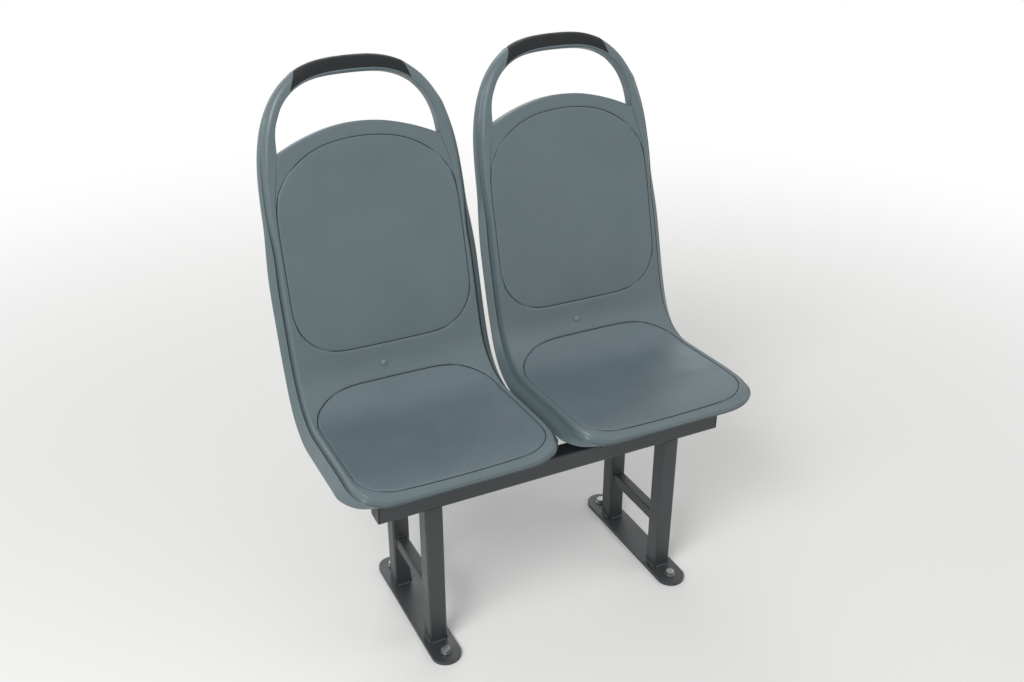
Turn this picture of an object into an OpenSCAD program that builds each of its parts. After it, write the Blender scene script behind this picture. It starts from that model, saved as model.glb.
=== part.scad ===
// Twin passenger seat: two moulded seats with loop handles on one steel underframe.
// +Z is up, the seats face -Y, and the origin is on the floor under the middle.

/* [Seats] */
// Width of one seat at its shoulders
seat_w = 430; // [400:1:470]
// Gap between the two seats at their shoulders
pair_gap = 10; // [10:1:60]
// Height of the top of the handles above the floor
handle_h = 1057; // [980:1:1150]
// Lean of the backrest from upright, degrees
recline = 15; // [8:0.5:20]
// Rise of the pan towards the front, degrees
pan_slope = 3; // [0:0.5:6]
// Straight length of the backrest from the handle's top to the bend
back_len = 577; // [560:1:640]
// Radius of the bend between backrest and pan
waist_r = 116; // [100:1:140]
// Straight length of the pan from the bend to the lip
pan_len = 218; // [205:1:300]
// Radius of the rolled front lip
lip_r = 34; // [34:1:50]
// How far the front lip rolls down, degrees
lip_turn = 80; // [60:1:86]
// How far the backrest's sides stand forward of its middle
back_dish = 8; // [0:1:12]
// How far the pan's sides stand above its middle
pan_dish = 17; // [0:1:20]
// Narrowing of the backrest from the shoulders to the bend, each side
back_taper = 0; // [0:0.5:8]
// Widening of the pan past the backrest's lower end, each side
pan_flare = 3; // [0:0.5:5]
// Length of the rounded front corners along the pan
corner_len = 84; // [78:1:110]
// Width of the rounded front corners
corner_w = 82; // [76:1:100]

/* [Shell edge] */
// Depth of the moulded shell, front face to back face
shell_t = 26; // [24:1:29]
// Extra depth of the skirts beside the pan
skirt = 14; // [0:1:20]
// How far the skirts' lower edge tucks in round the front corners
skirt_tuck = 15; // [0:1:18]
// Radius of the bare edge at the handle
edge_r = 13; // [10:1:14]
// Width of the rim beside the panels
rim_w = 30; // [29:1:34]
// Width of the sloping flange outside the front moulding
flange_w = 13; // [6:0.5:13]
// Width of the flange on the handle's legs and round the front corners
flange_end = 6; // [4:0.5:8]
// Thickness of the flange's outer edge
flange_edge = 3.5; // [2:0.5:5]
// Height of the flange's ridge below the front face
ridge_drop = 13; // [10:0.5:14]
// Depth of the joint line between flange and front moulding
joint_depth = 4; // [1:0.5:5]

/* [Handle] */
// Thickness of the handle bar at the top
bar_t = 33; // [30:1:36]
// Half width of the handle opening
open_half_w = 163; // [150:1:165]
// Height of the arch's ends below the handle's top
arch_v = 270; // [250:1:290]
// How far the arch's ends stand inside the full width
arch_in = 9; // [4:1:12]
// Height of the crowned top edge below the handle's top
crown_drop = 123; // [112:1:135]
// Fall of the crowned edge from its middle to the corners
crown_bow = 44; // [20:1:50]
// Rounding of the edges round the opening
open_edge = 4; // [2:1:6]

/* [Grip] */
// Wall of the grip over the handle bar
grip_t = 3; // [2:0.5:4]
// Reach of the grip to each side, degrees along the arch
grip_reach = 32; // [24:1:36]
// Slant of the grip's ends, degrees along the arch
grip_slant = 16; // [0:1:20]

/* [Panels] */
// Thickness of the inset panels
panel_t = 6; // [4:0.5:8]
// Depth of the shallow dish in the panels
panel_dip = 3; // [0:0.5:3]
// Width of the groove round a panel
groove_w = 2.5; // [1.5:0.5:3]
// Width of the eased lip along the grooves
lip_w = 3; // [2:0.5:4]
// Depth of the eased lip along the grooves
lip_drop = 1.2; // [0.5:0.1:1.5]
// Gap between pieces that sit on each other
seat_gap = 0.3; // [0.2:0.1:0.5]
// Height of the crown band between the opening and the back panel
crown_band = 27; // [20:1:32]
// Fall of the back panel's arched top from its middle to its corners
top_bow = 52; // [30:1:60]
// Height of the back panel's upper corners
top_corner_h = 64; // [40:1:70]
// Width of the back panel's upper corners
top_corner_w = 100; // [60:1:110]
// Length of the back panel at the middle
back_panel_len = 408; // [396:1:412]
// Height and width of the back panel's lower corners
low_corner = 84; // [50:1:100]
// Gap between the two panels across the waist, at the middle
waist_band = 67; // [60:1:80]
// Length of the pan panel at the middle
pan_panel_len = 346; // [320:1:348]
// Length of the pan panel's rear corners
rear_corner_len = 80; // [40:1:90]
// Width of the pan panel's rear corners
rear_corner_w = 95; // [50:1:105]
// Length of the pan panel's front corners
front_corner_len = 52; // [40:1:60]
// Width of the pan panel's front corners
front_corner_w = 62; // [50:1:80]

/* [Rear cover] */
// Thickness of the rear cover
cover_t = 4; // [3:0.5:6]
// Height of the raised field on the rear cover
field_h = 5; // [3:1:8]
// Distance of the cover's edge inside the shell's edge
cover_inset = 9; // [6:1:14]
// Width of the cover's flat border round the raised field
cover_border = 24; // [16:1:32]
// Clearance of the rear cover from the handle's opening above
cover_top_gap = 16; // [8:1:30]
// Clearance of the rear cover from the bend below
cover_end_gap = 13; // [5:1:40]
// Height and width of the cover's corners
cover_corner = 60; // [40:1:80]

/* [Underframe] */
// Side of the square cross tubes
tube_w = 40; // [30:1:45]
// Wall of the square tubes
tube_wall = 3; // [2:0.5:4]
// Outer radius of the square tubes' corners
tube_r = 5; // [4.5:0.5:7]
// Side of the square legs
leg_w = 36; // [30:1:40]
// Distance between the two leg frames, middle to middle
leg_span = 520; // [480:1:580]
// Distance between the cross tubes, middle to middle
tube_span = 190; // [150:1:200]
// Distance of the underframe's middle in front of the part's middle
frame_front = 90; // [70:1:90]
// Thickness of the foot rails
foot_t = 8; // [6:1:12]
// Width of the foot rails
foot_w = 60; // [50:1:80]
// Diameter of the bolt holes in the foot rails
bolt_d = 11; // [9:0.5:13]
// Distance of the bolt holes past the middle of the legs
bolt_reach = 50; // [40:1:60]
// Thickness of the seat carriers' steel
carrier_t = 4; // [3:0.5:5]
// Outer radius of the seat carriers' bends
carrier_r = 7; // [6:0.5:9]
// Width of the seat carriers
carrier_w = 50; // [40:1:60]
// Least height of the seat carriers
carrier_h = 24; // [18:1:34]
// Length of the seat carriers
carrier_len = 250; // [240:1:280]
// Distance between the two carriers of a seat
carrier_span = 220; // [200:1:240]
// How far the cross tubes reach past the carriers, each end
tube_reach = 10; // [4:1:20]
// Thickness of the end caps' heads
cap_t = 3; // [2:0.5:5]
// Length of the end caps' plugs inside the tubes
plug_len = 15; // [8:1:25]
// Side of the square brace between two legs
brace_w = 25; // [20:1:30]
// Height of the brace above the floor
brace_z = 120; // [80:1:200]

/* [Hidden] */

shell_colour = "#6b7880";
panel_colour = "#687580";
grip_colour = "#252b2f";
cover_colour = "#5f6b72";
steel_colour = "#3a3d3f";
cap_colour = "#161717";

// Places along a seat's middle line, v, counted from the handle's top
half_w = seat_w / 2;
seat_pitch = seat_w + pair_gap;
turn = 90 - recline + pan_slope;
pan_v = back_len + waist_r * turn * PI / 180;
lip_v = pan_v + pan_len;
end_v = lip_v + lip_r * lip_turn * PI / 180;
corner_v = end_v - corner_len;
crown_v = crown_drop + crown_bow;
back_top_v = crown_drop + crown_band;
back_end_v = back_top_v + back_panel_len;
pan_start_v = back_end_v + waist_band;
pan_end_v = pan_start_v + pan_panel_len;

function mix(a, b, t) = a + (b - a) * t;
function ease(t) = let (s = max(0, min(1, t))) s * s * (3 - 2 * s);
function unit(p) = p / norm(p);

// The middle line in side view: [y, z, normal's y, normal's z] at v
function spine(v) =
    let (
        n0 = [-cos(recline), sin(recline)], d0 = [-sin(recline), -cos(recline)],
        d1 = [-cos(pan_slope), sin(pan_slope)], n1 = [sin(pan_slope), cos(pan_slope)],
        bend = d0 * back_len + n0 * waist_r,
        pan = bend - n1 * waist_r,
        lip = pan + d1 * pan_len - n1 * lip_r,
        a = (v - back_len) / waist_r * 180 / PI,
        b = (v - lip_v) / lip_r * 180 / PI,
        n = v < back_len ? n0
            : v < pan_v ? n0 * cos(a) - d0 * sin(a)
            : v < lip_v ? n1
            : n1 * cos(b) + d1 * sin(b),
        p = v < back_len ? d0 * v
            : v < pan_v ? bend - n * waist_r
            : v < lip_v ? pan + d1 * (v - pan_v)
            : lip + n * lip_r
    ) [p[0], p[1], n[0], n[1]];

// How far the sides stand out from the middle at v. The dish deepens round the bend and fades at the lip.
dish_lead = 60;
lip_lead = 80;
lip_share = 0.4;
function dish(v) =
    mix(back_dish, pan_dish, ease((v - back_len + dish_lead) / (pan_v - back_len)))
    * mix(1, lip_share, ease((v - lip_v + lip_lead) / (end_v - lip_v + lip_lead)));

// A point across at u, along at v and h above the front face, before the seat is set on its place
function on_seat(u, v, h) =
    let (s = spine(v), lift = h + dish(v) * pow(u / half_w, 2))
    [u, s[0] + s[2] * lift, s[1] + s[3] * lift];

// The shell's outline: the arch by its angle, the sides by v and the front by its column
outer_bulge = [0.74, 0.83];
inner_bulge = [0.65, 0.91];
function arch(a, w, top, high, bulge) =
    [w * sign(a) * pow(abs(sin(a)), bulge[0]), top + high * (1 - pow(max(0, cos(a)), bulge[1]))];
function outer_arch(a) = arch(a, half_w - arch_in, 0, arch_v, outer_bulge);
function inner_arch(a) = arch(a, open_half_w, bar_t, crown_v - bar_t, inner_bulge);
function full_u(v) =
    half_w - back_taper * ease((v - arch_v) / (back_len - arch_v))
    + pan_flare * ease((v - back_len) / (pan_v - back_len));
shoulder_run = 150;
function outer_u(v) = full_u(v) - arch_in * (1 - ease((v - arch_v) / shoulder_run));

// The rim's inner line runs from the corners of the opening out to the panels' sides
function inner_u(v) =
    full_u(v) - rim_w
    - (half_w - rim_w - open_half_w) * pow(max(0, 1 - (v - crown_v) / shoulder_run), 2);

// A row across the seat: [v at the middle, fall to the sides, fall of the corners, width of the corners].
// Its columns c run from -1 to 1, and the corners take those past flat_part.
columns = 14;
flat_part = 6 / 14;
cs = [for (j = [0 : columns]) -1 + 2 * j / columns];
function corner_angle(c) = 90 * max(0, abs(c) - flat_part) / (1 - flat_part);
function row_u(c, w, corner) =
    sign(c) * (abs(c) <= flat_part ? (w - corner) * abs(c) / flat_part
        : w - corner + corner * sin(corner_angle(c)));
function row_v(c, u, w, r) = r[0] + r[1] * pow(u / w, 2) + r[2] * (1 - cos(corner_angle(c)));
function row_end(r) = r[0] + r[1] + r[2];
function row_points(r) =
    let (w = inner_u(row_end(r)))
    [for (c = cs) let (u = row_u(c, w, r[3])) [u, row_v(c, u, w, r)]];

// The lines across the seat where the openings and panels begin and end
low_bow = 4;
front_bow = 3;
crown_line = [crown_drop, crown_bow, 0, top_corner_w];
back_top_line = [back_top_v, top_bow, top_corner_h, top_corner_w];
back_end_line = [back_end_v, -low_bow, -low_corner, low_corner];
pan_start_line = [pan_start_v, low_bow, rear_corner_len, rear_corner_w];
pan_end_line = [pan_end_v, -front_bow, -front_corner_len, front_corner_w];
function moved(line, by) = [line[0] + by, line[1], line[2], line[3]];
function rows_between(a, b, count, power = 1) =
    [for (k = [0 : count]) let (t = pow(k / count, power)) mix(a, b, t)];

back_steps = 6;
pan_steps = 9;
pan_power = 1.25;
crown_rows = concat(rows_between(crown_line, moved(back_top_line, -lip_w), 3), [back_top_line]);
back_rows = rows_between(back_top_line, back_end_line, back_steps);
waist_rows = concat(
    [back_end_line],
    rows_between(moved(back_end_line, lip_w), moved(pan_start_line, -lip_w), 9),
    [pan_start_line]
);
pan_rows = rows_between(pan_start_line, pan_end_line, pan_steps, pan_power);
function after_first(rows) = [for (k = [1 : len(rows) - 1]) rows[k]];
all_rows = concat(crown_rows, after_first(back_rows), after_first(waist_rows), after_first(pan_rows));

// The rim's inner line lies lip_drop low beside the panels and the crown, and level across the waist
function on_waist(r) = r[0] > back_end_v + lip_w / 2 && r[0] < pan_start_v - lip_w / 2;
function end_drop(r) = on_waist(r) ? 0 : lip_drop;

// Where the outline meets a row's end at v
arch_lead = 200;
arch_fade = 1.5;
function outline_v(v) =
    let (last = row_end(pan_end_line))
    v + (arch_v - crown_v) * pow(max(0, 1 - (v - crown_v) / arch_lead), arch_fade)
    + (corner_v - last) * max(0, (v - pan_v) / (last - pan_v));
function front_outline(c) =
    let (w = outer_u(corner_v), u = row_u(c, w, corner_w))
    [u, row_v(c, u, w, [end_v, 0, -corner_len])];

// The flange's share of the section, 0 at the bare handle and 1 down the sides. Then its width and the
// depth of the shell's edge.
arch_share = 0.65;
front_share = 0.6;
flange_start = 6;
flange_run = 100;
function arch_flange(a) =
    let (start = grip_reach + flange_start) arch_share * ease((abs(a) - start) / (90 - start));
function side_flange(v) =
    mix(arch_share, 1, ease((v - arch_v) / flange_run))
    * mix(1, front_share, ease((v - corner_v) / corner_len));
function flange_at(v) =
    flange_end + (flange_w - flange_end)
    * (ease((v - arch_v) / flange_run) - ease((v - corner_v) / corner_len));
function depth_at(v) =
    shell_t + skirt * (ease((v - back_len) / flange_run) - pow(max(0, (v - corner_v) / corner_len), 2));
function tuck_at(v) = skirt_tuck * sin(180 * max(0, (v - corner_v) / corner_len));

// Stations round the rim: [outline point, way inwards, inner point, opening's rounding, under the grip,
// inner point's drop, flange's share, flange's width, edge's depth, lower edge's tuck]. On the bar the way
// inwards leads straight to the inner point, so that the grip's ends are straight.
function inward(a, b) = let (t = unit(b - a)) [-t[1], t[0]];
function slant(a) =
    sign(a) * grip_slant / 2 * min(abs(a) / grip_reach, (90 - abs(a)) / (90 - grip_reach));
function arch_station(a, gripped) =
    let (
        o = a - slant(a), step = 0.2, outer = outer_arch(o), inner = inner_arch(a + slant(a)),
        normal = inward(outer_arch(o - step), outer_arch(o + step)),
        across = unit(inner - outer), level = across / (across * normal)
    )
    [outer, mix(level, normal, ease((abs(a) - grip_reach) / (90 - grip_reach))), inner,
        open_edge * min(1, (90 - abs(a)) / 15), gripped, abs(a) < 90 ? 0 : lip_drop,
        arch_flange(a), flange_end, shell_t, 0];
function side_station(r, side) =
    let (v = row_end(r), w = outline_v(v), on = function (x) [side * outer_u(x), x])
    [on(w), inward(on(w - side), on(w + side)), [side * inner_u(v), v], 0, false, end_drop(r),
        side_flange(w), flange_at(w), depth_at(w), tuck_at(w)];
function front_station(j) =
    let (c = -cs[j], o = front_outline(c), step = 0.01)
    [o, inward(front_outline(c + step), front_outline(c - step)), row_points(pan_end_line)[columns - j],
        0, false, lip_drop, side_flange(o[1]), flange_at(o[1]), depth_at(o[1]), tuck_at(o[1])];
arm_steps = 6;
grip_steps = 12;
stations = concat(
    [for (k = [0 : arm_steps]) arch_station(mix(-90, -grip_reach, k / arm_steps), false)],
    [for (k = [0 : grip_steps]) arch_station(mix(-grip_reach, grip_reach, k / grip_steps), true)],
    [for (k = [0 : arm_steps]) arch_station(mix(grip_reach, 90, k / arm_steps), false)],
    [for (k = [1 : len(all_rows) - 2]) side_station(all_rows[k], 1)],
    [for (j = [0 : columns]) front_station(j)],
    [for (k = [len(all_rows) - 2 : -1 : 1]) side_station(all_rows[k], -1)]
);
arch_count = 2 * (arm_steps + 1) + grip_steps + 1;

flange_ease = 1.5;
joint_w = 5;
// The rim's section at a station as [inset, height]: a plain rounded edge at the handle, and down the sides
// a sloping flange, the joint line behind it and the front moulding's own edge.
// sink is how far the surface lies under the finished one.
function plain_edge(s, sink) = concat(
    [[sink, sink - s[8]], [sink, -(s[8] + edge_r) / 2]],
    [for (a = [0 : 18 : 90]) [edge_r - (edge_r - sink) * cos(a), (edge_r - sink) * sin(a) - edge_r]]
);
function flanged_edge(s) =
    let (f = s[7], back = flange_edge - s[8]) [
        [s[9], -s[8]], [s[9], back], [s[9] + flange_ease, back + flange_ease], [f, -ridge_drop],
        [f + 0.5 * joint_w, -ridge_drop - joint_depth], [f + joint_w, 1 - ridge_drop],
        [f + 1.2 * joint_w, -ridge_drop * 0.4], [f + 2 * joint_w, 0]
    ];
function rim_section(s, sink) =
    let (edge = mix(plain_edge(s, sink), flanged_edge(s), s[6]), last = edge[len(edge) - 1],
        lip = s[2] + unit(s[0] - s[2]) * (s[3] + lip_w))
    concat(
        [for (e = edge) concat(s[0] + s[1] * e[0], e[1])],
        [concat(mix(s[0] + s[1] * last[0], lip, 0.5), -sink), concat(lip, -sink)]
    );
function sink_at(s) = s[4] ? grip_t : 0;
function rim_levels(s) =
    let (out = unit(s[0] - s[2]), halfway = s[5] > 0 ? 0.5 : 1)
    concat(
        rim_section(s, sink_at(s)),
        [concat(s[2] + out * (s[3] + lip_w * halfway), -s[5] / 3), concat(s[2] + out * s[3], -s[5])]
    );
function rim_back(s) =
    let (sink = sink_at(s), o = s[0] + s[1] * mix(sink, s[9], s[6]))
    [concat(s[2], sink - shell_t), concat(mix(s[2], o, 0.5), sink - shell_t), concat(o, sink - s[8])];

// A skin is a list of rows of [u, v, h], seen from outside from the top down and left to right
function flip(rows) = [for (r = rows) [for (k = [len(r) - 1 : -1 : 0]) r[k]]];
function turned(rows) = [for (k = [0 : len(rows[0]) - 1]) [for (r = rows) r[k]]];
function closed(rows) = [for (r = rows) concat(r, [r[0]])];
function triangle(p, a, b, c) = p[a] != p[b] && p[b] != p[c] && p[a] != p[c] ? [[a, b, c]] : [];
function quad(p, a, w) = concat(triangle(p, a, a + 1, a + w + 1), triangle(p, a, a + w + 1, a + w));
module skins(list) {
    grids = [for (rows = list) [for (r = rows) [for (p = r) on_seat(p[0], p[1], p[2])]]];
    sizes = [for (g = grids) len(g) * len(g[0])];
    starts = [for (k = 0, n = 0; k < len(grids); n = n + sizes[k], k = k + 1) n];
    points = [for (g = grids) for (r = g) for (p = r) p];
    faces = [for (k = [0 : len(grids) - 1]) let (w = len(grids[k][0]))
        for (i = [0 : len(grids[k]) - 2]) for (j = [0 : w - 2])
            for (f = quad(points, starts[k] + i * w + j, w)) f];
    polyhedron(points = points, faces = faces, convexity = 8);
}
function at_h(points, h) = [for (p = points) [p[0], p[1], h]];

// A row of the front face at height h, whose ends meet the rim's inner line at the height low. A lip beside
// each end makes the fine groove that runs down from the corners of the opening.
function face_row(p, h, low, end_h, lip) =
    let (first = p[0] + unit(p[1] - p[0]) * lip, last = p[columns] + unit(p[columns - 1] - p[columns]) * lip)
    concat(
        [concat(p[0], low), concat(p[0], end_h), concat(first, lip > 0 ? h : end_h)],
        [for (j = [1 : columns - 1]) concat(p[j], h)],
        [concat(last, lip > 0 ? h : end_h), concat(p[columns], end_h), concat(p[columns], low)]
    );
function front_row(r, h, pocket = false, lip = lip_w) =
    let (low = -end_drop(r)) face_row(row_points(r), h, low, pocket ? h : low, lip);
function level_rows(rows) = [for (r = rows) front_row(r, 0)];
function pocket_rows(rows) = [for (r = rows) front_row(r, -panel_t, true)];
function line_row(line, lip = lip_w) = [front_row(line, -lip_drop, false, lip)];

// The moulded shell with its loop handle, the pockets for the panels and the bare bar under the grip
module seat_shell(side) {
    crown = row_points(crown_line);
    brow = [for (k = [0 : columns]) crown[k] + [0, abs(cs[k]) < 1 ? open_edge : 0]];
    front = concat(
        [face_row(crown, -shell_t, -shell_t, -shell_t, 0)],
        [face_row(crown, -open_edge, -lip_drop, -lip_drop, 0)],
        [face_row(brow, 0, -lip_drop, -lip_drop, lip_w)],
        level_rows([for (k = [1 : len(crown_rows) - 2]) crown_rows[k]]), line_row(back_top_line),
        pocket_rows(back_rows), line_row(back_end_line),
        level_rows([for (k = [1 : len(waist_rows) - 2]) waist_rows[k]]), line_row(pan_start_line),
        pocket_rows(pan_rows), line_row(pan_end_line, 0)
    );
    rim = turned([for (s = stations) rim_levels(s)]);
    back_ring = turned([for (s = stations) rim_back(s)]);
    arch_wall = turned([for (k = [0 : arch_count - 1]) let (s = stations[k])
        [concat(s[2] + unit(s[0] - s[2]) * s[3], -s[5]), concat(s[2], -max(s[3], s[5])),
            concat(s[2], sink_at(s) - shell_t)]]);
    color(shell_colour) place_seat(side)
        skins([
            closed(rim), closed(back_ring), arch_wall, front,
            flip([for (r = all_rows) at_h(row_points(r), -shell_t)])
        ]);
}

// A flat-backed pad over some of the rows. Its loops are [inset, height] from the back edge to the face.
panel_loops = [
    [groove_w, seat_gap - panel_t], [groove_w, -lip_drop * 1.3],
    [groove_w + lip_w / 3, -lip_drop / 2], [groove_w + lip_w, 0]
];
function shrunk(p, rows, inset) =
    let (
        top = rows[0][0], low = rows[len(rows) - 1][0], mid = (top + low) / 2, half = (low - top) / 2,
        side = inner_u(row_end(rows[round(len(rows) / 2)]))
    ) [p[0] * (side - inset) / side, mid + (p[1] - mid) * (half - inset) / half];
function pad_grid(rows, inset) = [for (r = rows) [for (p = row_points(r)) shrunk(p, rows, inset)]];
function rim_of(grid) =
    let (m = len(grid) - 1, n = len(grid[0]) - 1)
    concat(grid[0], [for (i = [1 : m]) grid[i][n]], [for (j = [n - 1 : -1 : 0]) grid[m][j]],
        [for (i = [m - 1 : -1 : 1]) grid[i][0]]);
dip_rise = 2.3;
function dipped(grid, h, dip) =
    let (m = len(grid) - 1, n = len(grid[0]) - 1)
    [for (i = [0 : m]) [for (j = [0 : n]) concat(grid[i][j],
        h - dip * ease(dip_rise * min(i, m - i) / m) * ease(dip_rise * min(j, n - j) / n))]];
module pad(rows, side) {
    last = panel_loops[len(panel_loops) - 1];
    color(panel_colour) place_seat(side)
        skins([
            closed([for (s = panel_loops) at_h(rim_of(pad_grid(rows, s[0])), s[1])]),
            dipped(pad_grid(rows, last[0]), last[1], panel_dip),
            flip([for (r = pad_grid(rows, panel_loops[0][0])) at_h(r, panel_loops[0][1])])
        ]);
}

// The grip wraps the bar's front, top and back, and leaves a bare lip along the opening
module grip(side) {
    gripped = [for (s = stations) if (s[4]) s];
    bore = grip_t - seat_gap;
    ring = function (s) let (out = rim_section(s, 0), in = rim_section(s, bore), n = len(out) - 1)
        concat(
            [concat(s[2], -shell_t)], out, [for (k = [n : -1 : 0]) in[k]], [concat(s[2], bore - shell_t)]
        );
    rings = [for (s = gripped) ring(s)];
    half = len(rings[0]) / 2;
    cap = function (r) [[for (k = [0 : half - 1]) r[k]], [for (k = [0 : half - 1]) r[2 * half - 1 - k]]];
    color(grip_colour) place_seat(side)
        skins([turned(closed(rings)), cap(rings[0]), flip(cap(rings[len(rings) - 1]))]);
}

// The rear cover closes the back. It follows the shell's outline from above the shoulders to the bend.
cover_steps = 6;
cover_v = crown_drop + cover_top_gap;
cover_len = back_len - cover_end_gap - cover_v;
cover_top_line = [cover_v, crown_bow, cover_corner, cover_corner];
cover_end_line = [cover_v + cover_len, 0, -cover_corner, cover_corner];
cover_base = shell_t + seat_gap;
cover_loops = [[0, -cover_base], [0, 1 - cover_base - cover_t], [1, -cover_base - cover_t],
    [cover_border, -cover_base - cover_t], [cover_border + field_h, -cover_base - cover_t - field_h]];
function cover_row(r) =
    let (w = outer_u(row_end(r)) - cover_inset)
    [for (c = cs) let (u = row_u(c, w, r[3])) [u, row_v(c, u, w, r)]];
function cover_grid(inset) =
    let (mid = cover_v + cover_len / 2, half = cover_len / 2, side = half_w - cover_inset)
    [for (r = rows_between(cover_top_line, cover_end_line, cover_steps)) [for (p = cover_row(r))
        [p[0] * (side - inset) / side, mid + (p[1] - mid) * (half - inset) / half]]];
module rear_cover(side) {
    last = cover_loops[len(cover_loops) - 1];
    color(cover_colour) place_seat(side)
        skins([
            flip(closed([for (s = cover_loops) at_h(rim_of(cover_grid(s[0])), s[1])])),
            flip([for (r = cover_grid(last[0])) at_h(r, last[1])]),
            [for (r = cover_grid(0)) at_h(r, -cover_base)]
        ]);
}

// The seats' place in the part: the handles' top at its height, the whole part in the middle front to back
top_z = handle_h + edge_r * (cos(recline) + sin(recline) - 1);
reach_y = concat(
    [for (s = stations) for (p = rim_levels(s)) on_seat(p[0], p[1], p[2])[1]],
    [for (s = cover_loops) for (r = cover_grid(s[0])) for (p = r) on_seat(p[0], p[1], s[1])[1]]
);
mid_y = -(min(reach_y) + max(reach_y)) / 2;
module place_seat(side) {
    translate([side * seat_pitch / 2, mid_y, top_z]) children();
}

// The underframe's places. The carriers' tops lie against the pan's underside at their inner edges.
frame_y = -frame_front;
front_tube_y = frame_y - tube_span / 2;
rear_tube_y = frame_y + tube_span / 2;
pan_back = spine(pan_v);
carrier_drop = shell_t + seat_gap - dish(pan_v) * pow((carrier_span - carrier_w) / seat_w, 2);
function carrier_z(y) =
    top_z + pan_back[1] - carrier_drop / cos(pan_slope) + (mid_y + pan_back[0] - y) * tan(pan_slope);
tube_top_z = carrier_z(rear_tube_y + tube_w / 2) - carrier_h;
tube_mid_z = tube_top_z - tube_w / 2;
tube_len = seat_pitch + carrier_span + carrier_w + 2 * tube_reach;
leg_len = tube_top_z - tube_w - foot_t;
foot_len = tube_span + 2 * bolt_reach + foot_w;

module rounded_square(w, h, r) {
    square([w, h - 2 * r], center = true);
    square([w - 2 * r, h], center = true);
    for (x = [-1, 1], y = [-1, 1]) translate([x * (w / 2 - r), y * (h / 2 - r)]) circle(r, $fn = 32);
}

module square_tube(w, length) {
    linear_extrude(length, center = true)
        difference() {
            rounded_square(w, w, tube_r);
            rounded_square(w - 2 * tube_wall, w - 2 * tube_wall, max(tube_r - tube_wall, 0.5));
        }
}

module cross_tube(y) {
    color(steel_colour) translate([0, y, tube_mid_z]) rotate([0, 90, 0]) square_tube(tube_w, tube_len);
}

module tube_end_caps() {
    inner = tube_w - 2 * tube_wall - 2 * seat_gap;
    color(cap_colour)
        for (y = [front_tube_y, rear_tube_y], side = [-1, 1])
            translate([side * tube_len / 2, y, tube_mid_z]) rotate([0, side * 90, 0]) {
                linear_extrude(cap_t) rounded_square(tube_w, tube_w, tube_r);
                translate([0, 0, -plug_len]) linear_extrude(plug_len) square(inner, center = true);
            }
}

// A channel open downwards, bent from sheet, cut off level where it stands on the cross tubes
module channel_end(w, h, r) {
    translate([-w / 2, -h]) square([w, h - r]);
    translate([-w / 2 + r, -h]) square([w - 2 * r, h]);
    for (x = [-1, 1]) translate([x * (w / 2 - r), -r]) circle(r, $fn = 32);
}
module carriers(side) {
    web_h = carrier_h + carrier_len * sin(pan_slope) + carrier_t;
    cut_h = 2 * web_h;
    color(steel_colour)
        for (x = [-1, 1] * carrier_span / 2)
            translate([side * seat_pitch / 2 + x, frame_y, 0])
                difference() {
                    translate([0, 0, carrier_z(frame_y)]) rotate([90 - pan_slope, 0, 0])
                        linear_extrude(carrier_len, center = true)
                            difference() {
                                channel_end(carrier_w, web_h, carrier_r);
                                translate([0, -carrier_t])
                                    channel_end(carrier_w - 2 * carrier_t, web_h, carrier_r - carrier_t);
                            }
                    translate([-carrier_w, -carrier_len, tube_top_z - cut_h])
                        cube([2 * carrier_w, 2 * carrier_len, cut_h]);
                }
}

module legs(side) {
    color(steel_colour)
        for (y = [front_tube_y, rear_tube_y])
            translate([side * leg_span / 2, y, foot_t + leg_len / 2]) square_tube(leg_w, leg_len);
}

module foot_rail(side) {
    hole_y = tube_span / 2 + bolt_reach;
    color(steel_colour)
        translate([side * leg_span / 2, frame_y, 0])
            difference() {
                linear_extrude(foot_t) {
                    square([foot_w, foot_len - foot_w], center = true);
                    for (y = [-1, 1] * (foot_len - foot_w) / 2)
                        translate([0, y]) circle(d = foot_w, $fn = 72);
                }
                for (y = [-1, 1] * hole_y)
                    translate([0, y, -1]) cylinder(d = bolt_d, h = foot_t + 2, $fn = 48);
            }
}

module brace(side) {
    color(steel_colour)
        translate([side * leg_span / 2, frame_y, brace_z]) rotate([90, 0, 0])
            square_tube(brace_w, tube_span - leg_w);
}

seat_shell(-1);  // left_shell
seat_shell(1);  // right_shell
pad(back_rows, -1);  // left_back_panel
pad(back_rows, 1);  // right_back_panel
pad(pan_rows, -1);  // left_pan_panel
pad(pan_rows, 1);  // right_pan_panel
grip(-1);  // left_grip
grip(1);  // right_grip
rear_cover(-1);  // left_rear_cover
rear_cover(1);  // right_rear_cover
cross_tube(front_tube_y);  // front_cross_tube
cross_tube(rear_tube_y);  // rear_cross_tube
tube_end_caps();
carriers(-1);  // left_carriers
carriers(1);  // right_carriers
legs(-1);  // left_legs
legs(1);  // right_legs
foot_rail(-1);  // left_foot_rail
foot_rail(1);  // right_foot_rail
brace(-1);  // left_brace
brace(1);  // right_brace
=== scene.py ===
from math import cos, pi, radians, sin
import bpy
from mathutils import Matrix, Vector
from mathutils.bvhtree import BVHTree


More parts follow.
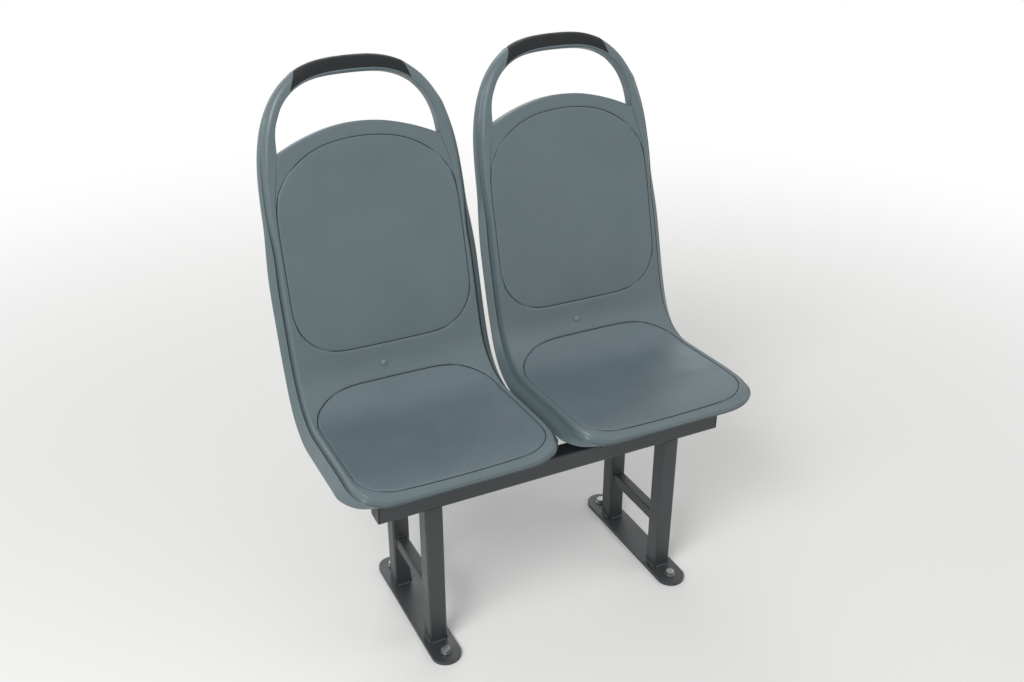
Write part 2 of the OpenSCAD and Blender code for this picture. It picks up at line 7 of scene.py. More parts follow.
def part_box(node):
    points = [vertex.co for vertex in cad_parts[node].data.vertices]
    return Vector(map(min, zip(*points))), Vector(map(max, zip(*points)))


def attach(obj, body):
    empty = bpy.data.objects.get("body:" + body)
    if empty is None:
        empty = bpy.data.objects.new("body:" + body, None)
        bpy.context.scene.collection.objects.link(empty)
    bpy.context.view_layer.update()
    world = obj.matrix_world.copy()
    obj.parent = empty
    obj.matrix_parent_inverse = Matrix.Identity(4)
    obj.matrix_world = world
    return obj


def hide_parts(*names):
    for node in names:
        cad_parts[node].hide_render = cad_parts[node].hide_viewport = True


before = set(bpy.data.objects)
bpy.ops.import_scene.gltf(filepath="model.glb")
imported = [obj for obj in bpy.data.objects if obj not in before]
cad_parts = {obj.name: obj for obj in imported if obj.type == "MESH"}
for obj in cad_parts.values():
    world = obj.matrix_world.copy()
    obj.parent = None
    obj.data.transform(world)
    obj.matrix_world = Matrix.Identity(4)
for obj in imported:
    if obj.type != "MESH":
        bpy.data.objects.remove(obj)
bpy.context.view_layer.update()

print("frame loaded,", len(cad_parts), "nodes")

# camera: the photograph's viewpoint, in metres, aimed at the whole pair
view = {"place": (-0.848, -1.714, 1.521), "aim": (0.0, 0.0, 0.52), "lens": 38.0, "near": 0.05}

cameraData = bpy.data.cameras.new("viewCamera")
cameraData.lens = view["lens"]
cameraData.clip_start = view["near"]
camera = bpy.data.objects.new("viewCamera", cameraData)
camera.location = view["place"]
camera.rotation_euler = (Vector(view["aim"]) - camera.location).to_track_quat("-Z", "Y").to_euler()
bpy.context.scene.collection.objects.link(camera)
bpy.context.scene.camera = camera


# small helpers
def toLinear(hexColour):
    parts = [int(hexColour[k:k + 2], 16) / 255 for k in (1, 3, 5)]
    return [*(c / 12.92 if c <= 0.04045 else ((c + 0.055) / 1.055) ** 2.4 for c in parts), 1.0]


def addNode(tree, kind, settings, inputs):
    node = tree.nodes.new(kind)
    for name, value in settings.items():
        setattr(node, name, value)
    for name, value in inputs.items():
        if isinstance(value, bpy.types.NodeSocket):
            tree.links.new(value, node.inputs[name])
        else:
            node.inputs[name].default_value = value
    return node


def newMaterial(name):
    material = bpy.data.materials.new(name)
    material.use_nodes = True
    tree = material.node_tree
    return material, tree, tree.nodes["Principled BSDF"]


def perMetre(millimetres):  # a noise texture's scale for a real size
    return 1000 / millimetres


def mm(value):
    return value / 1000


def deselectAll():
    bpy.ops.object.select_all(action="DESELECT")


def pick(piece, kind, test):  # opens the piece in edit mode with only what passes the test selected
    bpy.ops.object.mode_set(mode="EDIT")
    bpy.ops.mesh.select_mode(type=kind)
    bpy.ops.mesh.select_all(action="DESELECT")
    bpy.ops.object.mode_set(mode="OBJECT")
    data = piece.data
    for item in {"VERT": data.vertices, "EDGE": data.edges, "FACE": data.polygons}[kind]:
        item.select = test(item)
    bpy.ops.object.mode_set(mode="EDIT")


def editDone():
    bpy.ops.object.mode_set(mode="OBJECT")


def facesUp(face):
    return face.normal.z > 0.9


def facesDown(face):
    return face.normal.z < -0.9


def addBevel(piece, width, sharpAngle):  # on the edges that turn by more than the angle
    edge = piece.modifiers.new("edge", "BEVEL")
    edge.width = mm(width)
    edge.segments = 2
    edge.limit_method = "ANGLE"
    edge.angle_limit = radians(sharpAngle)


def easeEdges(piece, width, sharpAngle):
    addBevel(piece, width, sharpAngle)
    bpy.ops.object.modifier_apply(modifier="edge")
    bpy.ops.object.shade_smooth_by_angle(angle=radians(35))


def placeCopy(original, place, up, stretch=1.0):
    piece = original.copy()
    piece.data = original.data.copy()
    bpy.context.scene.collection.objects.link(piece)
    piece.location = place
    piece.rotation_mode = "QUATERNION"
    piece.rotation_quaternion = Vector(up).to_track_quat("Z", "Y")
    piece.scale = (1, 1, stretch)
    deselectAll()
    piece.select_set(True)
    bpy.context.view_layer.objects.active = piece
    bpy.ops.object.transform_apply(location=True, rotation=True, scale=True)
    return piece


def joinInto(name, pieces, original, material):  # all the copies as one piece; the original goes
    deselectAll()
    for piece in pieces:
        piece.select_set(True)
    bpy.context.view_layer.objects.active = pieces[0]
    if len(pieces) > 1:
        bpy.ops.object.join()
    joined = bpy.context.view_layer.objects.active
    joined.name = name
    joined.data.materials.clear()
    joined.data.materials.append(material)
    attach(joined, "root")
    if original.name in bpy.data.objects:
        bpy.data.objects.remove(original)
    return joined


def surfaceOf(nodeName):
    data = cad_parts[nodeName].data
    corners = [corner.co.copy() for corner in data.vertices]
    return BVHTree.FromPolygons(corners, [tuple(face.vertices) for face in data.polygons])


# materials: nodes that several of them use
def noise(tree, coords, size, detail, rough=0.5, twist=0.0):  # size in mm
    return addNode(tree, "ShaderNodeTexNoise", {}, {
        "Vector": coords, "Scale": perMetre(size), "Detail": detail,
        "Roughness": rough, "Distortion": twist}).outputs["Fac"]


def spread(tree, value, ends, low, high):  # goes from low to high as the value goes from end to end
    return addNode(tree, "ShaderNodeMapRange", {}, {
        "Value": value, "From Min": ends[0], "From Max": ends[1],
        "To Min": low, "To Max": high}).outputs["Result"]


def tint(tree, amount, base, hexColour):
    return addNode(tree, "ShaderNodeMix", {"data_type": "RGBA"}, {
        "Factor": amount, "A": base, "B": toLinear(hexColour)}).outputs["Result"]


def roughen(tree, shader, height, strength, depth):
    bump = addNode(tree, "ShaderNodeBump", {}, {
        "Height": height, "Strength": strength, "Distance": mm(depth)})
    tree.links.new(bump.outputs["Normal"], shader.inputs["Normal"])


# where the wear, the dirt and painted shade of the hollows and the dust of moulded plastic start and where
# they are
# at their full: on the pointiness, which is 0.5 on flat ground, on the normal's z, and on the noise
wear = {"corner": (0.51, 0.58), "hollow": (0.49, 0.42), "upward": (0.3, 1.0), "smear": (0.35, 0.65),
        "scratch": (0.70, 0.78), "scratchNoise": 2.4, "scratchTurn": (0.3, 0.2, 0.5),
        "scratchStretch": (1.0, 0.016, 1.0)}


def mouldedPlastic(name, look):
    # polypropylene moulded in a spark-eroded tool: a soft even grain that breaks up the highlight. The
    # corners are rubbed paler, the hollows are darkened with dirt and painted shade, a thin patchy dust lies
    # on what faces up, and hands and clothes leave faint smears and scratches
    material, tree, shader = newMaterial(name)
    coords = tree.nodes.new("ShaderNodeTexCoord").outputs["Object"]
    geometry = tree.nodes.new("ShaderNodeNewGeometry").outputs
    cloud = noise(tree, coords, look["cloudSize"], 5.0, rough=0.6)
    colour = tint(tree, cloud, toLinear(look["dark"]), look["pale"])
    rubbed = spread(tree, geometry["Pointiness"], wear["corner"], 0.0, look["rubbed"])
    colour = tint(tree, rubbed, colour, look["worn"])
    # dirt and painted shade: the hollows are tinted towards a darker tone, as dirt lies and shade falls in
    # them
    hollowDirtAndShade = spread(tree, geometry["Pointiness"], wear["hollow"], 0.0, look["hollowDirtAndShadeAmount"])
    colour = tint(tree, hollowDirtAndShade, colour, look["hollowDirtAndShadeColour"])

    upward = addNode(tree, "ShaderNodeSeparateXYZ", {}, {"Vector": geometry["Normal"]}).outputs["Z"]
    settled = spread(tree, upward, wear["upward"], 0.0, look["film"])
    patches = noise(tree, coords, look["patchSize"], 6.0, rough=0.65)
    film = addNode(tree, "ShaderNodeMath", {"operation": "MULTIPLY"}, {0: settled, 1: patches}).outputs[0]
    colour = tint(tree, film, colour, look["filmColour"])

    # scratches 0.3 mm wide are too fine to show, so they are drawn about 1 mm wide and 60 mm long
    along = addNode(tree, "ShaderNodeMapping", {}, {
        "Vector": coords, "Rotation": wear["scratchTurn"], "Scale": wear["scratchStretch"]}).outputs["Vector"]
    scratch = spread(tree, noise(tree, along, wear["scratchNoise"], 1.0), wear["scratch"],
                     0.0, look["scratched"])
    colour = tint(tree, scratch, colour, look["worn"])
    tree.links.new(colour, shader.inputs["Base Color"])

    smear = noise(tree, coords, look["smearSize"], 3.0, twist=0.6)
    sheen = spread(tree, smear, wear["smear"], look["smooth"], look["rough"])
    tree.links.new(sheen, shader.inputs["Roughness"])
    grain = noise(tree, coords, look["grainSize"], 2.0, rough=0.6)
    roughen(tree, shader, grain, look["grainStrength"], look["grainDepth"])
    shader.inputs["IOR"].default_value = look["ior"]
    return material


def coatedSteel(name, look):
    # steel with a polyester powder coat: dark and half matt, with the faint orange peel of a baked coat,
    # rubbed greyer along its corners
    material, tree, shader = newMaterial(name)
    coords = tree.nodes.new("ShaderNodeTexCoord").outputs["Object"]
    shape = tree.nodes.new("ShaderNodeNewGeometry").outputs["Pointiness"]
    cloud = noise(tree, coords, look["cloudSize"], 4.0)
    colour = tint(tree, cloud, toLinear(look["dark"]), look["pale"])
    rubbed = spread(tree, shape, look["corner"], 0.0, look["rubbed"])
    tree.links.new(tint(tree, rubbed, colour, look["worn"]), shader.inputs["Base Color"])
    gloss = spread(tree, cloud, look["cloudy"], look["smooth"], look["rough"])
    tree.links.new(gloss, shader.inputs["Roughness"])
    peel = noise(tree, coords, look["peelSize"], 1.0)
    roughen(tree, shader, peel, look["peelStrength"], look["peelDepth"])
    return material


def platedSteel(name, look):
    # zinc-plated steel, dulled to grey: a metal whose plating is slightly cloudy, darker in its hollows with
    # dirt and painted shade
    material, tree, shader = newMaterial(name)
    coords = tree.nodes.new("ShaderNodeTexCoord").outputs["Object"]
    shape = tree.nodes.new("ShaderNodeNewGeometry").outputs["Pointiness"]
    cloud = noise(tree, coords, look["cloudSize"], 4.0)
    colour = tint(tree, cloud, toLinear(look["dark"]), look["pale"])
    # dirt and painted shade: the hollows are tinted darker, as dirt lies and shade falls in them
    hollowDirtAndShade = spread(tree, shape, look["hollow"], 0.0, look["hollowDirtAndShadeAmount"])
    tree.links.new(tint(tree, hollowDirtAndShade, colour, look["hollowDirtAndShadeColour"]), shader.inputs["Base Color"])
    gloss = spread(tree, cloud, look["cloudy"], look["smooth"], look["rough"])
    tree.links.new(gloss, shader.inputs["Roughness"])
    shader.inputs["Metallic"].default_value = 1.0
    return material


shellPlastic = mouldedPlastic("shellPlastic", {
    "dark": "#556469", "pale": "#627175", "worn": "#7d8b90", "hollowDirtAndShadeColour": "#485458", "cloudSize": 90,
    "rubbed": 0.35, "hollowDirtAndShadeAmount": 0.1, "scratched": 0.25, "smearSize": 70, "smooth": 0.33, "rough": 0.47,
    "grainSize": 1.6, "grainStrength": 0.35, "grainDepth": 0.25, "film": 0.22, "patchSize": 60,
    "filmColour": "#87929a", "ior": 1.49})
panelPlastic = mouldedPlastic("panelPlastic", {
    "dark": "#546368", "pale": "#617075", "worn": "#7d8b91", "hollowDirtAndShadeColour": "#485458", "cloudSize": 120,
    "rubbed": 0.35, "hollowDirtAndShadeAmount": 0.1, "scratched": 0.40, "smearSize": 90, "smooth": 0.35, "rough": 0.50,
    "grainSize": 2.2, "grainStrength": 0.45, "grainDepth": 0.3, "film": 0.22, "patchSize": 70,
    "filmColour": "#87929a", "ior": 1.49})
plugPlastic = mouldedPlastic("plugPlastic", {  # the same plastic, moulded apart; a shade paler as a painted highlight, so the small dome reads as a light nub
    "dark": "#677579", "pale": "#727f84", "worn": "#8a9599", "hollowDirtAndShadeColour": "#4a5558", "cloudSize": 20,
    "rubbed": 0.35, "hollowDirtAndShadeAmount": 0.3, "scratched": 0.2, "smearSize": 20, "smooth": 0.36, "rough": 0.46,
    "grainSize": 1.6, "grainStrength": 0.3, "grainDepth": 0.2, "film": 0.15, "patchSize": 20,
    "filmColour": "#95a0a5", "ior": 1.49})
coverPlastic = mouldedPlastic("coverPlastic", {
    "dark": "#505c61", "pale": "#5b686c", "worn": "#737f85", "hollowDirtAndShadeColour": "#3b4447", "cloudSize": 110,
    "rubbed": 0.35, "hollowDirtAndShadeAmount": 0.6, "scratched": 0.35, "smearSize": 80, "smooth": 0.46, "rough": 0.60,
    "grainSize": 2.0, "grainStrength": 0.55, "grainDepth": 0.3, "film": 0.2, "patchSize": 60,
    "filmColour": "#87929a", "ior": 1.49})
gripRubber = mouldedPlastic("gripRubber", {  # a soft elastomer over the bar, polished by hands
    "dark": "#0e1214", "pale": "#15191b", "worn": "#262c2f", "hollowDirtAndShadeColour": "#0b0e0f", "cloudSize": 40,
    "rubbed": 0.4, "hollowDirtAndShadeAmount": 0.3, "scratched": 0.05, "smearSize": 30, "smooth": 0.48, "rough": 0.64,
    "grainSize": 1.2, "grainStrength": 0.5, "grainDepth": 0.3, "film": 0.02, "patchSize": 30,
    "filmColour": "#87929a", "ior": 1.38})
capPlastic = mouldedPlastic("capPlastic", {
    "dark": "#141515", "pale": "#1e2020", "worn": "#303232", "hollowDirtAndShadeColour": "#232422", "cloudSize": 30,
    "rubbed": 0.5, "hollowDirtAndShadeAmount": 0.4, "scratched": 0.2, "smearSize": 20, "smooth": 0.40, "rough": 0.55,
    "grainSize": 1.5, "grainStrength": 0.4, "grainDepth": 0.2, "film": 0.15, "patchSize": 20,
    "filmColour": "#87929a", "ior": 1.5})
frameSteel = coatedSteel("frameSteel", {
    "dark": "#303436", "pale": "#3a3f41", "worn": "#5a5f61", "cloudSize": 60, "cloudy": (0.35, 0.65),
    "corner": (0.53, 0.62), "rubbed": 0.4, "smooth": 0.36, "rough": 0.48,
    "peelSize": 3.0, "peelStrength": 0.5, "peelDepth": 0.25})
boltSteel = platedSteel("boltSteel", {
    "dark": "#8b8d8c", "pale": "#a9abaa", "hollowDirtAndShadeColour": "#3c3b38", "cloudSize": 8, "cloudy": (0.3, 0.7),
    "hollow": (0.48, 0.40), "hollowDirtAndShadeAmount": 0.7, "smooth": 0.30, "rough": 0.45})
print("materials made")


# the seats' moulded pieces: the solids' own shapes, rounded and smoothed
smoothing = {"mergeWithin": 0.02, "faceAngle": 90, "shapeAngle": 180, "rowsFirst": 1.5, "levels": 2}


def smoothPiece(nodeName, finish):
    piece = bpy.data.objects.new(nodeName + "_moulded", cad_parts[nodeName].data.copy())
    bpy.context.scene.collection.objects.link(piece)
    deselectAll()
    bpy.context.view_layer.objects.active = piece
    piece.select_set(True)
    bpy.ops.object.mode_set(mode="EDIT")
    bpy.ops.mesh.select_all(action="SELECT")
    bpy.ops.mesh.remove_doubles(threshold=mm(smoothing["mergeWithin"]))
    bpy.ops.mesh.tris_convert_to_quads(face_threshold=radians(smoothing["faceAngle"]),
                                       shape_threshold=radians(smoothing["shapeAngle"]),
                                       topology_influence=smoothing["rowsFirst"])
    low, high = (Vector(corner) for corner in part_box(nodeName))
    bpy.ops.mesh.select_all(action="SELECT")
    bpy.ops.transform.resize(value=[1 + finish["grow"]] * 3, center_override=(low + high) / 2)
    editDone()
    addBevel(piece, finish["edge"], finish["sharp"])
    skin = piece.modifiers.new("skin", "SUBSURF")
    skin.levels = skin.render_levels = smoothing["levels"]
    for modifier in ("edge", "skin"):
        bpy.ops.object.modifier_apply(modifier=modifier)
    bpy.ops.object.shade_smooth()
    piece.data.materials.clear()
    piece.data.materials.append(finish["material"])
    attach(piece, "root")
    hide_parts(nodeName)
    return piece


# the panels grow by about 1.6 mm all round, because the joint round them shows as a fine line on such a seat
panelFinish = {"edge": 0.4, "sharp": 50, "grow": 0.008, "material": panelPlastic, "slot": "panel_plastic"}
mouldings = {
    "shell": {"edge": 1.0, "sharp": 40, "grow": 0, "material": shellPlastic, "slot": "seat_plastic"},
    "back_panel": panelFinish,
    "pan_panel": panelFinish,
    "grip": {"edge": 0.6, "sharp": 50, "grow": 0, "material": gripRubber, "slot": "grip_rubber"},
    "rear_cover": {"edge": 0.8, "sharp": 40, "grow": 0, "material": coverPlastic, "slot": "cover_plastic"},
}
for side in ("left", "right"):
    for part, finish in mouldings.items():
        smoothPiece(side + "_" + part, finish)
print("mouldings smoothed")

# the underframe keeps its solids, with its edges eased
eased = {"steel": 1.0, "cap": 0.8, "sharp": 40, "flatWithin": 1}
for name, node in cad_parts.items():
    if "_".join(name.split("_")[1:]) in mouldings:
        continue
    isCap = name == "tube_end_caps"
    node.data.materials.clear()
    node.data.materials.append(capPlastic if isCap else frameSteel)
    weld = node.modifiers.new("weld", "WELD")
    weld.merge_threshold = mm(smoothing["mergeWithin"])
    flat = node.modifiers.new("flat", "DECIMATE")  # the loose triangles of a flat side become one face
    flat.decimate_type = "DISSOLVE"
    flat.angle_limit = radians(eased["flatWithin"])
    addBevel(node, eased["cap" if isCap else "steel"], eased["sharp"])
print("underframe finished")

# screws that hold the rear covers, on the flat border and square to the back
coverScrews = {"radius": 5.5, "head": 2.6, "sides": 12, "chamferIn": 1.2, "chamferUp": 0.7,
               "recess": 3.0, "recessDepth": 1.6, "lobe": 0.72, "ease": 0.25, "sharp": 40,
               "border": 12, "up": (560, 690, 820), "across": (-110, 110),
               "backSlope": 15, "lookFrom": 300, "step": 1}


def makeScrew(look):  # a low round head with a six-lobed recess
    deselectAll()
    bpy.ops.mesh.primitive_cylinder_add(vertices=look["sides"], radius=mm(look["radius"]),
                                        depth=mm(look["head"]), location=(0, 0, mm(look["head"] / 2)))
    screw = bpy.context.object
    bpy.ops.object.transform_apply(location=True)
    pick(screw, "FACE", facesUp)
    bpy.ops.mesh.inset(thickness=mm(look["chamferIn"]), depth=mm(look["chamferUp"]))
    bpy.ops.mesh.inset(thickness=mm(look["radius"] - look["chamferIn"] - look["recess"]), depth=0)
    editDone()
    innerRing = mm(look["recess"]) * 1.15
    pick(screw, "VERT", lambda corner: corner.co.xy.length < innerRing and corner.index % 2 == 0)
    bpy.ops.transform.resize(value=(look["lobe"], look["lobe"], 1), center_override=(0, 0, 0))
    editDone()
    pick(screw, "FACE", lambda face: facesUp(face) and face.center.xy.length < mm(0.5)
         and len(face.vertices) == look["sides"])
    bpy.ops.mesh.extrude_region_move(TRANSFORM_OT_translate={"value": (0, 0, -mm(look["recessDepth"]))})
    editDone()
    easeEdges(screw, look["ease"], look["sharp"])
    return screw


slope = radians(coverScrews["backSlope"])
outOfBack = Vector((0, cos(slope), -sin(slope)))
upTheBack = Vector((0, sin(slope), cos(slope)))
acrossTheBack = Vector((1, 0, 0))


def coverEdge(cover, start, way):  # from the start to the cover's edge, and back on to its border
    reach = 0.0
    step = mm(coverScrews["step"])
    while cover.ray_cast(start + way * (reach + step), -outOfBack)[0]:
        reach += step
    return start + way * (reach - mm(coverScrews["border"]))


for side in ("left", "right"):
    screw = makeScrew(coverScrews)
    cover = surfaceOf(side + "_rear_cover")
    low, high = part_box(side + "_rear_cover")
    middle = [(low[k] + high[k]) / 2 for k in range(3)]
    centre = Vector(middle) + outOfBack * mm(coverScrews["lookFrom"])
    starts = []
    for height in coverScrews["up"]:
        level = centre + upTheBack * (mm(height) - middle[2])
        starts += [coverEdge(cover, level, acrossTheBack * way) for way in (-1, 1)]
    for across in coverScrews["across"]:
        column = centre + acrossTheBack * mm(across)
        starts += [coverEdge(cover, column, upTheBack * way) for way in (-1, 1)]
    placed = []
    for start in starts:
        place, normal = cover.ray_cast(start, -outOfBack)[:2]
        placed.append(placeCopy(screw, place, normal if normal.dot(outOfBack) > 0 else -normal))
    joinInto(side + "_cover_screws", placed, screw, boltSteel)
print("cover screws placed")

# hex bolts: through the carriers into the shells, and through the foot rails into the floor
boltHead = {"sides": 6, "chamferIn": 1.1, "chamferUp": 0.5, "dishIn": 1.6, "dishDown": 0.3,
            "ease": 0.35, "sharp": 25, "shankRadius": 5,
            "washerSides": 32, "washerEase": 0.3, "washerSharp": 40}
carrierBolts = {"across": 13, "head": 5.3, "washer": 8.0, "washerThick": 1.6, "shank": 0,
                "inFromSide": 25, "along": (-140, -90, -40)}
floorBolts = {"across": 17, "head": 6.4, "washer": 10.5, "washerThick": 2.0, "shank": 8,
              "x": (-260, 260), "y": (-235, 55), "z": 8}


def makeBolt(look):  # head, washer under it and, where it shows, the shank below
    deselectAll()
    base = look["washerThick"]
    bpy.ops.mesh.primitive_cylinder_add(vertices=boltHead["sides"],
                                        radius=mm(look["across"] / 2 / cos(pi / boltHead["sides"])),
                                        depth=mm(look["head"]), location=(0, 0, mm(base + look["head"] / 2)))
    head = bpy.context.object
    bpy.ops.object.transform_apply(location=True)
    pick(head, "FACE", facesUp)
    bpy.ops.mesh.inset(thickness=mm(boltHead["chamferIn"]), depth=mm(boltHead["chamferUp"]))
    bpy.ops.mesh.inset(thickness=mm(boltHead["dishIn"]), depth=-mm(boltHead["dishDown"]))
    editDone()
    easeEdges(head, boltHead["ease"], boltHead["sharp"])
    deselectAll()
    bpy.ops.mesh.primitive_cylinder_add(vertices=boltHead["washerSides"], radius=mm(look["washer"]),
                                        depth=mm(base), location=(0, 0, mm(base / 2)))
    washer = bpy.context.object
    bpy.ops.object.transform_apply(location=True)
    if look["shank"]:
        pick(washer, "FACE", facesDown)
        bpy.ops.mesh.inset(thickness=mm(look["washer"] - boltHead["shankRadius"]), depth=0)
        bpy.ops.mesh.extrude_region_move(TRANSFORM_OT_translate={"value": (0, 0, -mm(look["shank"]))})
        editDone()
    easeEdges(washer, boltHead["washerEase"], boltHead["washerSharp"])
    head.select_set(True)
    bpy.context.view_layer.objects.active = head
    bpy.ops.object.join()
    return head


bolt = makeBolt(carrierBolts)
placed = []
for side in ("left", "right"):
    channels = surfaceOf(side + "_carriers")
    low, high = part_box(side + "_carriers")
    inward = mm(carrierBolts["inFromSide"])
    for x in (low[0] + inward, high[0] - inward):
        for y in carrierBolts["along"]:
            place = channels.ray_cast(Vector((x, mm(y), low[2] - 0.1)), Vector((0, 0, 1)))[0]
            placed.append(placeCopy(bolt, place, (0, 0, -1)))
joinInto("carrier_bolts", placed, bolt, boltSteel)
bolt = makeBolt(floorBolts)
placed = [placeCopy(bolt, (mm(x), mm(y), mm(floorBolts["z"])), (0, 0, 1))
          for x in floorBolts["x"] for y in floorBolts["y"]]
joinInto("floor_bolts", placed, bolt, boltSteel)
print("bolts placed")

# weld beads along the underframe's joints, with the ripples of a hand-laid bead
beads = {"radius": 2.6, "length": 30, "ripple": 2.2, "swell": 1.14, "tip": 0.55, "sides": 10,
         "smoothBelow": 60, "carrierWidth": 50, "braceHalf": 12.5, "legShare": 0.95, "braceShare": 0.65}


def makeBead(look):
    deselectAll()
    bpy.ops.mesh.primitive_cylinder_add(vertices=look["sides"], radius=mm(look["radius"]),
                                        depth=mm(look["length"]))
    bead = bpy.context.object
    corners = bead.data.vertices
    cuts = int(look["length"] / look["ripple"])
    pick(bead, "EDGE", lambda edge:
         abs(corners[edge.vertices[0]].co.z - corners[edge.vertices[1]].co.z) > mm(1))
    bpy.ops.mesh.subdivide(number_cuts=cuts)
    editDone()
    step = mm(look["length"]) / (cuts + 1)
    half = mm(look["length"]) / 2
    pick(bead, "VERT", lambda corner: round((corner.co.z + half) / step) % 2 == 1
         and abs(corner.co.z) < half - step / 2)
    bpy.ops.transform.resize(value=(look["swell"], look["swell"], 1), center_override=(0, 0, 0))
    editDone()
    pick(bead, "VERT", lambda corner: abs(corner.co.z) > half - step / 2)
    bpy.ops.transform.resize(value=(look["tip"], look["tip"], 1), center_override=(0, 0, 0))
    editDone()
    bpy.ops.object.shade_smooth_by_angle(angle=radians(look["smoothBelow"]))
    return bead


bead = makeBead(beads)
placed = []
tubeLow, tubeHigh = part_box("front_cross_tube")
rearLow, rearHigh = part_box("rear_cross_tube")
tubeYs = ((tubeLow[1] + tubeHigh[1]) / 2, (rearLow[1] + rearHigh[1]) / 2)
for side in ("left", "right"):
    low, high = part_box(side + "_carriers")
    width = mm(beads["carrierWidth"])
    for edgeX in (low[0], low[0] + width, high[0] - width, high[0]):
        for y in tubeYs:
            placed.append(placeCopy(bead, (edgeX, y, tubeHigh[2]), (0, 1, 0)))
    legLow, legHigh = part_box(side + "_legs")
    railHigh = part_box(side + "_foot_rail")[1]
    braceLow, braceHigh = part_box(side + "_brace")
    middleX = (legLow[0] + legHigh[0]) / 2
    middleZ = (braceLow[2] + braceHigh[2]) / 2
    halfLeg = (legHigh[0] - legLow[0]) / 2
    share = beads["legShare"]
    for y in tubeYs:
        for z in (legHigh[2], railHigh[2]):
            for away in (-halfLeg, halfLeg):
                placed.append(placeCopy(bead, (middleX + away, y, z), (0, 1, 0), stretch=share))
                placed.append(placeCopy(bead, (middleX, y + away, z), (1, 0, 0), stretch=share))
    share = beads["braceShare"]
    for y in (braceLow[1], braceHigh[1]):
        for away in (-mm(beads["braceHalf"]), mm(beads["braceHalf"])):
            placed.append(placeCopy(bead, (middleX, y, middleZ + away), (1, 0, 0), stretch=share))
            placed.append(placeCopy(bead, (middleX + away, y, middleZ), (0, 0, 1), stretch=share))
joinInto("weld_beads", placed, bead, frameSteel)
print("weld beads laid")

# a small domed plug in the waist of each seat, and push-in studs under the pans' side edges
plugs = {"radius": 5.5, "height": 3.0, "sides": 24, "across": -20,
         "lookFrom": (-200, 742), "lookAlong": (0, 0.75, -0.66)}
studs = {"radius": 3.4, "height": 5.0, "sides": 16, "out": 214.3, "along": (-135, -55), "lookFrom": 300}
# the step inwards is a share of the radius, the rises are shares of the height
domes = {"stepIn": 0.3, "rises": (0.25, 0.08), "sunk": 0.5, "ease": 0.4, "sharp": 30}
seatMiddles = {"left": -220, "right": 220}


def makeStud(look):
    deselectAll()
    bpy.ops.mesh.primitive_cylinder_add(vertices=look["sides"], radius=mm(look["radius"]),
                                        depth=mm(look["height"]),
                                        location=(0, 0, mm(look["height"] / 2 - domes["sunk"])))
    stud = bpy.context.object
    bpy.ops.object.transform_apply(location=True)
    pick(stud, "FACE", facesUp)
    for rise in domes["rises"]:
        bpy.ops.mesh.inset(thickness=mm(look["radius"] * domes["stepIn"]), depth=mm(look["height"] * rise))
    editDone()
    easeEdges(stud, domes["ease"], domes["sharp"])
    return stud


for side, middle in seatMiddles.items():
    shellSurface = surfaceOf(side + "_shell")
    plug = makeStud(plugs)
    start = Vector((mm(middle + plugs["across"]), *(mm(value) for value in plugs["lookFrom"])))
    place, normal = shellSurface.ray_cast(start, Vector(plugs["lookAlong"]).normalized())[:2]
    joinInto(side + "_waist_plug", [placeCopy(plug, place, normal)], plug, plugPlastic)
    stud = makeStud(studs)
    placed = []
    for out in (-studs["out"], studs["out"]):
        for y in studs["along"]:
            start = Vector((mm(middle + out), mm(y), mm(studs["lookFrom"])))
            placed.append(placeCopy(stud, shellSurface.ray_cast(start, Vector((0, 0, 1)))[0], (0, 0, -1)))
    joinInto(side + "_skirt_studs", placed, stud, capPlastic)
print("plugs and studs placed")

# floor, background and light
studio = {
    "floor": "#efefed", "floorRough": 0.85, "floorSize": 40.0, "fadeFrom": 0.9, "fadeTo": 3.2,
    "world": "#ffffff", "worldStrength": 0.5, "aim": (0, 0, 0.5),
    "lamps": [  # name, place, size, watts
        ("keyLamp", (-2.3, -1.6, 3.0), 1.8, 80),
        ("fillLamp", (2.8, -1.6, 2.4), 2.2, 14),
        ("backLamp", (0.8, 3.0, 2.8), 2.0, 26),
    ],
}


def seenWhite(tree, lit):  # plain white wherever the camera, a mirror or glass looks at it
    path = tree.nodes.new("ShaderNodeLightPath").outputs
    either = addNode(tree, "ShaderNodeMath", {"operation": "MAXIMUM"}, {
        0: path["Is Camera Ray"], 1: path["Is Glossy Ray"]})
    seen = addNode(tree, "ShaderNodeMath", {"operation": "MAXIMUM"}, {
        0: either.outputs[0], 1: path["Is Transmission Ray"]})
    kind = "ShaderNodeEmission" if tree.nodes.get("Principled BSDF") else "ShaderNodeBackground"
    white = addNode(tree, kind, {}, {"Color": (1, 1, 1, 1), "Strength": 1.0})
    mixed = addNode(tree, "ShaderNodeMixShader", {}, {0: seen.outputs[0], 1: lit, 2: white.outputs[0]})
    return mixed.outputs[0]


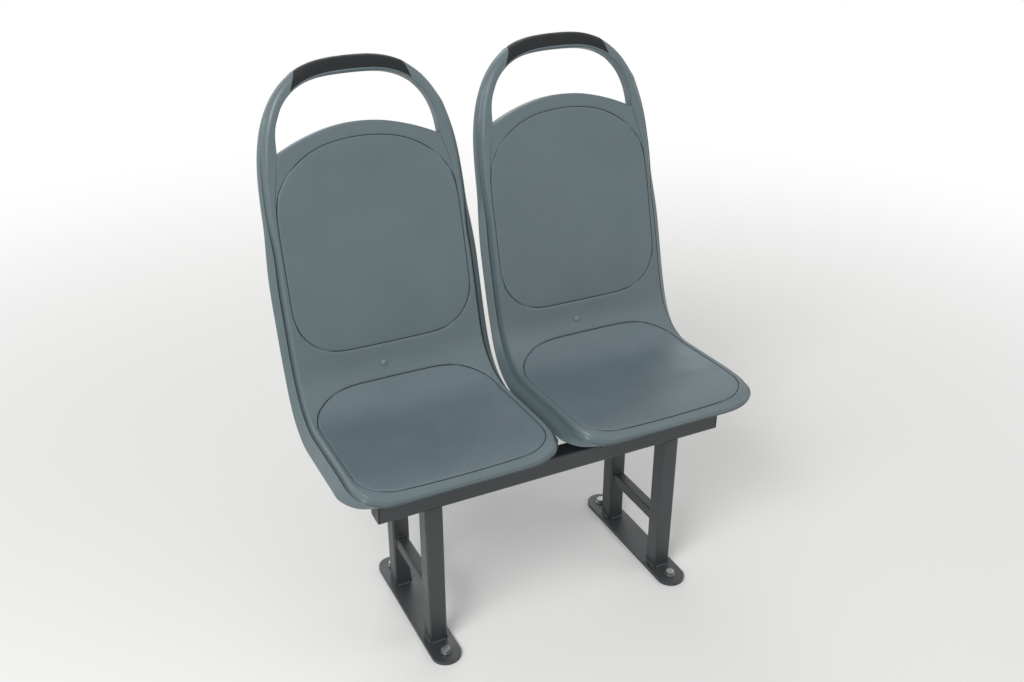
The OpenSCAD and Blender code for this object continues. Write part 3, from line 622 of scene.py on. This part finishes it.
deselectAll()
bpy.ops.mesh.primitive_plane_add(size=studio["floorSize"], location=(0, 0, 0))
floor = bpy.context.object
floor.name = "studioFloor"
# the floor is a matt pale board that fades into the background
floorMaterial, floorTree, floorShader = newMaterial("paleFloor")
floorShader.inputs["Base Color"].default_value = toLinear(studio["floor"])
floorShader.inputs["Roughness"].default_value = studio["floorRough"]
floorCoords = floorTree.nodes.new("ShaderNodeTexCoord").outputs["Object"]
distance = addNode(floorTree, "ShaderNodeVectorMath", {"operation": "LENGTH"}, {0: floorCoords})
fade = addNode(floorTree, "ShaderNodeMapRange", {"interpolation_type": "SMOOTHSTEP"}, {
    "Value": distance.outputs["Value"], "From Min": studio["fadeFrom"], "From Max": studio["fadeTo"]})
faded = addNode(floorTree, "ShaderNodeMixShader", {}, {
    0: fade.outputs["Result"], 1: floorShader.outputs[0], 2: seenWhite(floorTree, floorShader.outputs[0])})
# looked at from below, the floor is clear, so that the underside of the pair can be seen
clear = floorTree.nodes.new("ShaderNodeBsdfTransparent").outputs[0]
underneath = floorTree.nodes.new("ShaderNodeNewGeometry").outputs["Backfacing"]
laid = addNode(floorTree, "ShaderNodeMixShader", {}, {0: underneath, 1: faded.outputs[0], 2: clear})
floorTree.links.new(laid.outputs[0], floorTree.nodes["Material Output"].inputs["Surface"])
floor.data.materials.append(floorMaterial)

world = bpy.data.worlds.new("studioWorld")
bpy.context.scene.world = world
world.use_nodes = True
worldTree = world.node_tree
worldTree.nodes.clear()
ambient = addNode(worldTree, "ShaderNodeBackground", {}, {
    "Color": toLinear(studio["world"]), "Strength": studio["worldStrength"]})
addNode(worldTree, "ShaderNodeOutputWorld", {}, {"Surface": seenWhite(worldTree, ambient.outputs[0])})

for name, place, size, watts in studio["lamps"]:
    lampData = bpy.data.lights.new(name, "AREA")
    lampData.size = size
    lampData.energy = watts
    lamp = bpy.data.objects.new(name, lampData)
    lamp.location = place
    lamp.rotation_euler = (Vector(studio["aim"]) - lamp.location).to_track_quat("-Z", "Y").to_euler()
    bpy.context.scene.collection.objects.link(lamp)
bpy.context.scene.view_settings.view_transform = "Standard"
print("studio ready")
